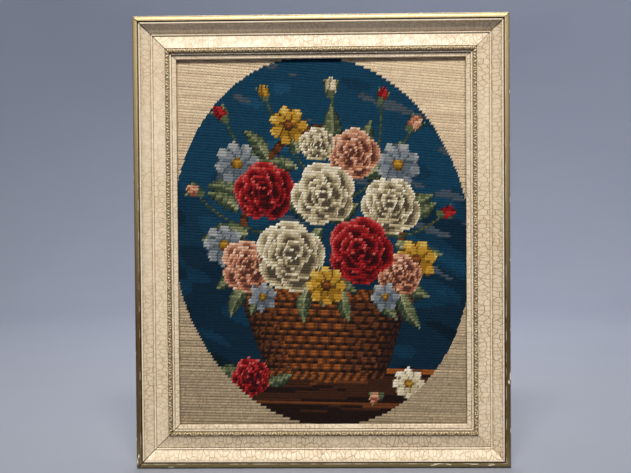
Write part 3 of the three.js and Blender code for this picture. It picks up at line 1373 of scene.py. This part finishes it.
# %% [markdown]
# ## Finish: wool
#
# Tapestry wool is matt, with a slight bloom of loose fibres that the sheen stands for. No two
# stitches are quite alike, and rows differ more than neighbours do, because the tension changes
# as a length of wool is used up. So each stitch carries its own dye as an attribute.

# %% Wool
def wool_finish():
    finish = new_finish(
        "tapestry_wool", Roughness=0.95, Sheen_Weight=0.03, Specular_IOR_Level=0.06
    )
    twisted = stretched(object_place(finish), (5, 5, 1), turn=26)
    fibres = mottling(twisted, 900.0, 3.0)
    light = spread(fibres, 0.30, 0.70, 0.80, 1.12)
    inputs = {"Vector": attribute(finish, "dye", "Color"), "Scale": light}
    wire(finish, "Base Color", node("VectorMath", inputs, operation="SCALE"))
    bump(finish, fibres, 0.00025)
    return finish


WOOL = wool_finish()
print("finish:", WOOL.name)

# %% [markdown]
# ## One stitch, and then all of them
#
# A stitch shows as a plump grain of yarn that dives into the canvas at both ends. A sphere of
# four sides and four bands, drawn out and slanted, gives it in 24 triangles. All the stitches of
# a wool family are copies of that grain joined into one mesh with arrays, each with its own
# small differences in length, thickness, slant and dye.

# %% Stitch shape
SLANT = atan2(THREAD, ROW)
STITCH_HALF_LONG = 2.62
STITCH_HALF_WIDE = 0.92
STITCH_HEIGHT = 1.0
STITCH_SUNK = 0.56  # its middle is this share of its height behind the front of the canvas box
GRAIN_SWELL = (1.22, 1.16)  # sideways and outwards, above and below the middle


def stitch_grain():
    """One upright grain of yarn of half size 1 in every direction."""
    bm = bmesh.new()
    bmesh.ops.create_uvsphere(bm, u_segments=4, v_segments=4, radius=1.0)
    for vertex in bm.verts:
        if 0.1 < abs(vertex.co.z) < 0.9:
            vertex.co.x *= GRAIN_SWELL[0]
            vertex.co.y *= GRAIN_SWELL[1]
    places = np.array([vertex.co[:] for vertex in bm.verts])
    faces = [[vertex.index for vertex in face.verts] for face in bm.faces]
    bm.free()
    return places, faces


GRAIN, GRAIN_FACES = stitch_grain()
print(f"grain: {len(GRAIN)} points, {sum(len(face) - 2 for face in GRAIN_FACES)} triangles")

# %% Differences between stitches
END_DUST_AND_SHADE = 0.60  # how much darker the ends of stitches are at most: dust and painted shade between the rows
SHADE_UNDER_LIP = 0.5
SHADE_REACH = 2.2  # millimetres out from the lip
chance = np.random.default_rng(16)
canvas_low, canvas_high = (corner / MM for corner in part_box("needlepoint"))
row_low = stitch_row.min()
row_count = stitch_row.max() - row_low + 1
uneven = np.where(IN_OVAL, 0.35, 1.0)
row_lift = uneven * chance.normal(0, 0.15, row_count)[stitch_row - row_low]
row_tension = chance.normal(0, 1, row_count)[stitch_row - row_low]
slack = uneven * (0.6 * row_tension + 0.8 * wander(0.7 * stitch_x, 40 * stitch_row, 3.3))
plump = 1 - 0.05 * slack + chance.normal(0, 0.05, STITCHES)
long = 1 - 0.045 * slack + chance.normal(0, 0.03, STITCHES)
slant = SLANT + chance.normal(0, 0.05, STITCHES) + 0.03 * row_tension
rise = np.clip(1 + chance.normal(0, 0.08, STITCHES), 0.75, 1.12)
# 0.3 in the oval, and from 0 at the top to 1 at the foot in the corners: it sets how much the dyes
# vary, and the dust and painted shade at the ends of the stitches.
dust_and_shade = np.where(IN_OVAL, 0.3, np.clip(0.5 - Z / SIGHT_HEIGHT, 0, 1))
row_jitter = (0.02 + 0.05 * dust_and_shade) * row_tension
dye_jitter = 1 + row_jitter + (0.035 + 0.075 * dust_and_shade) * chance.normal(0, 1, STITCHES)


def stitch_colours():
    """Linear colour of each stitch."""
    tints = np.empty((STITCHES, 3))
    for number, family in enumerate(FAMILIES):
        tones = np.array([colour(code)[:3] for code in WOOLS[family]])
        mine = wool == number
        tints[mine] = tones[np.minimum((shade[mine] + 0.5).astype(int), len(tones) - 1)]
    # Stitches within SHADE_REACH of the lip are darkened: painted shade under the lip.
    from_lip = np.minimum(SIGHT_WIDTH / 2 - abs(stitch_x), SIGHT_HEIGHT / 2 - abs(stitch_z))
    under_lip_shade = 1 - SHADE_UNDER_LIP * np.clip(1 - from_lip / SHADE_REACH, 0, 1)
    return tints * (dye_jitter * under_lip_shade)[:, None]


tints = stitch_colours()
plumpness = f"{plump.min():.2f} to {plump.max():.2f}"
print(f"tension: row lift {row_lift.std():.2f} mm, plumpness {plumpness}")

# %% Join the stitches of each wool family
def stitch_places(mine):
    """Corner points of the stitches in mine, in metres."""
    half_wide = STITCH_HALF_WIDE * plump[mine]
    half_thick = 0.5 * STITCH_HEIGHT * rise[mine]
    half = np.stack([half_wide, half_thick, STITCH_HALF_LONG * long[mine]], axis=1)
    across, thick, up = np.moveaxis(GRAIN[None, :, :] * half[:, None, :], 2, 0)
    turn = slant[mine][:, None]
    x = across * np.cos(turn) + up * np.sin(turn)
    z = -across * np.sin(turn) + up * np.cos(turn)
    y = thick + canvas_low.y + STITCH_SUNK * STITCH_HEIGHT
    middle_x, middle_z = stitch_x[mine], stitch_z[mine] + row_lift[mine] + MIDDLE_HEIGHT / MM
    places = np.stack([x + middle_x[:, None], y, z + middle_z[:, None]], axis=2)
    return places.reshape(-1, 3) * MM


def planar_map(mesh):
    """Maps a mesh as seen from the front, to fill a square."""
    flat = places_of(mesh)[:, [0, 2]]
    flat = 0.01 + 0.98 * (flat - flat.min(axis=0)) / np.ptp(flat, axis=0)
    corners = np.empty(len(mesh.loops), int)
    mesh.loops.foreach_get("vertex_index", corners)
    mesh.uv_layers.new(name="OFBake").data.foreach_set("uv", flat[corners].ravel())


def join_stitches(name, mine):
    count = int(mine.sum())
    firsts = range(0, count * len(GRAIN), len(GRAIN))
    faces = [[first + corner for corner in face] for first in firsts for face in GRAIN_FACES]
    mesh = bpy.data.meshes.new(name)
    mesh.from_pydata(stitch_places(mine), [], faces)
    mesh.shade_smooth()
    dyes = np.ones((count, len(GRAIN), 4))
    # The ends of each stitch, where it dives between the rows, are darkened: dust and painted
    # shade, most towards the foot.
    stitch_end_darkening = 1 - END_DUST_AND_SHADE * dust_and_shade[mine][:, None] * GRAIN[None, :, 2] ** 2
    dyes[:, :, :3] = tints[mine][:, None, :] * stitch_end_darkening[:, :, None]
    write_dyes(mesh, dyes)
    planar_map(mesh)
    mesh.materials.append(WOOL)
    made = add_object(name, mesh)
    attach(made, "root")
    print(f"{name}: {count} stitches, {triangles(made)} triangles")
    return made


WORKED = [
    join_stitches("stitches_" + family, wool == number) for number, family in enumerate(FAMILIES)
]

# %% [markdown]
# ## The canvas behind the stitches
#
# The canvas is one flat sheet, stretched in the rabbet. Its back shows the wrong side of the work,
# where each stitch passes behind: the same colours, softer, in rows. So the back face is a grid
# whose corners take the dye of the nearest stitch, and the unworked margin stays bare. Its front
# is a flat dark brown, painted shade for the deep shadow between the stitches, so that no pale
# thread shows there.

# %% Canvas
CANVAS_THICKNESS = 0.9
WRONG_SIDE_SHADE = (0.45, 0.45, 0.45, 1)
WRONG_SIDE_DYE = 0.9


def canvas_finish():
    finish = new_finish(
        "worked_canvas", Roughness=0.95, Specular_IOR_Level=0.1, Sheen_Weight=0.1
    )
    place = object_place(finish)
    waves = 2 * pi / (THREAD * MM)
    warp, weft = (sums("SINE", product(axis_of(place, axis), waves)) for axis in "XZ")
    weave = spread(sums("MAXIMUM", warp, weft), -0.2, 1.0)
    tangle = mottling(stretched(place, (3, 1, 1), turn=-32), 330.0, 3.0)
    cloth = blend(weave, "#5a4c38", "#cfc0a0")
    shadowed = blend(spread(tangle, 0.38, 0.58), WRONG_SIDE_SHADE, (1, 1, 1, 1))
    wrong_side = blend(1.0, attribute(finish, "dye", "Color"), shadowed, "MULTIPLY")
    wire(finish, "Base Color", blend(attribute(finish, "worked"), cloth, wrong_side))
    bump(finish, sums("ADD", product(weave, 0.4), tangle), 0.0008)
    return finish


def cut_canvas():
    """The sheet as a closed body: a fine grid behind, one face in front."""
    bm = bmesh.new()
    size = canvas_high - canvas_low
    columns, rows = int(size.x / THREAD), int(size.z / ROW)
    grid = bmesh.ops.create_grid(bm, x_segments=columns, y_segments=rows, size=0.5)["verts"]
    bmesh.ops.scale(bm, vec=(size.x, size.z, 1), verts=grid)
    rotate(bm, grid, 90, "X")
    border = [edge for edge in bm.edges if edge.is_boundary]
    front = of_kind(bmesh.ops.extrude_edge_only(bm, edges=border)["geom"], bmesh.types.BMVert)
    shift(bm, front, (0, -CANVAS_THICKNESS, 0))
    rim = [edge for edge in bm.edges if edge.is_boundary]
    bmesh.ops.holes_fill(bm, edges=rim, sides=0)
    face_outwards(bm)
    middle = (canvas_low + canvas_high) / 2
    back = canvas_low.y + STITCH_HEIGHT + CANVAS_THICKNESS
    shift(bm, bm.verts, (middle.x, back, middle.z))
    bmesh.ops.scale(bm, vec=(MM, MM, MM), verts=bm.verts)
    for face in bm.faces:
        face.material_index = int(face.normal.y < -0.5)
    # The front face is a flat dark brown: painted shade between the stitches.
    front_painted_shade = new_finish(
        "canvas_front_painted_shade", Roughness=0.95, Base_Color=colour("#2e2822"), Specular_IOR_Level=0.1
    )
    return piece_from(bm, "canvas", canvas_finish(), front_painted_shade)


def dye_wrong_side(canvas):
    """Gives each corner of the canvas the dye of the stitch that lies over it."""
    # A grid of cells 1 mm wide and tall holds the number of the stitch that covers each.
    nearest = np.full((int(SIGHT_WIDTH) + 12, int(SIGHT_HEIGHT) + 12), -1)

    def cells(x, z):
        wide, tall = nearest.shape
        column = (x + wide / 2).astype(int).clip(0, wide - 1)
        return column, (z + tall / 2).astype(int).clip(0, tall - 1)

    for shift_x in (-1, 0, 1):
        for shift_z in (-2, -1, 0, 1, 2):
            nearest[cells(stitch_x + shift_x, stitch_z + shift_z)] = np.arange(STITCHES)
    x, _, up = places_of(canvas.data).T / MM
    z = up - MIDDLE_HEIGHT / MM
    found = nearest[cells(x, z)]
    dyes = np.ones((len(x), 4))
    dyes[:, :3] = tints[found] * WRONG_SIDE_DYE
    inside = is_worked(x, z) & (found >= 0)
    write_dyes(canvas.data, dyes)
    write_numbers(canvas.data, "worked", inside.astype(float))
    return int(inside.sum())


def map_canvas(mesh):
    """The back of the canvas fills most of the map, and its front a strip at the foot."""
    planar_map(mesh)
    layer = mesh.uv_layers["OFBake"].data
    for face in mesh.polygons:
        is_behind = face.normal.y > 0.5
        for loop in face.loop_indices:
            u, v = layer[loop].uv
            layer[loop].uv = (u, 0.125 + 0.875 * v if is_behind else 0.11 * v)


CANVAS = cut_canvas()
dyed_corners = dye_wrong_side(CANVAS)
map_canvas(CANVAS.data)
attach(CANVAS, "root")
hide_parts("needlepoint")
print(f"canvas: {triangles(CANVAS)} triangles, {dyed_corners} dyed corners")

# %% Print the sizes and finish
added = sum(triangles(made) for made in (*RAILS, *TRIMS, *WORKED, CANVAS))
seen_low, seen_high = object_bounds()
box = [[round(c, 4) for c in corner] for corner in (seen_low, seen_high)]
print(f"added {added} triangles; visual box {box[0]} to {box[1]}")
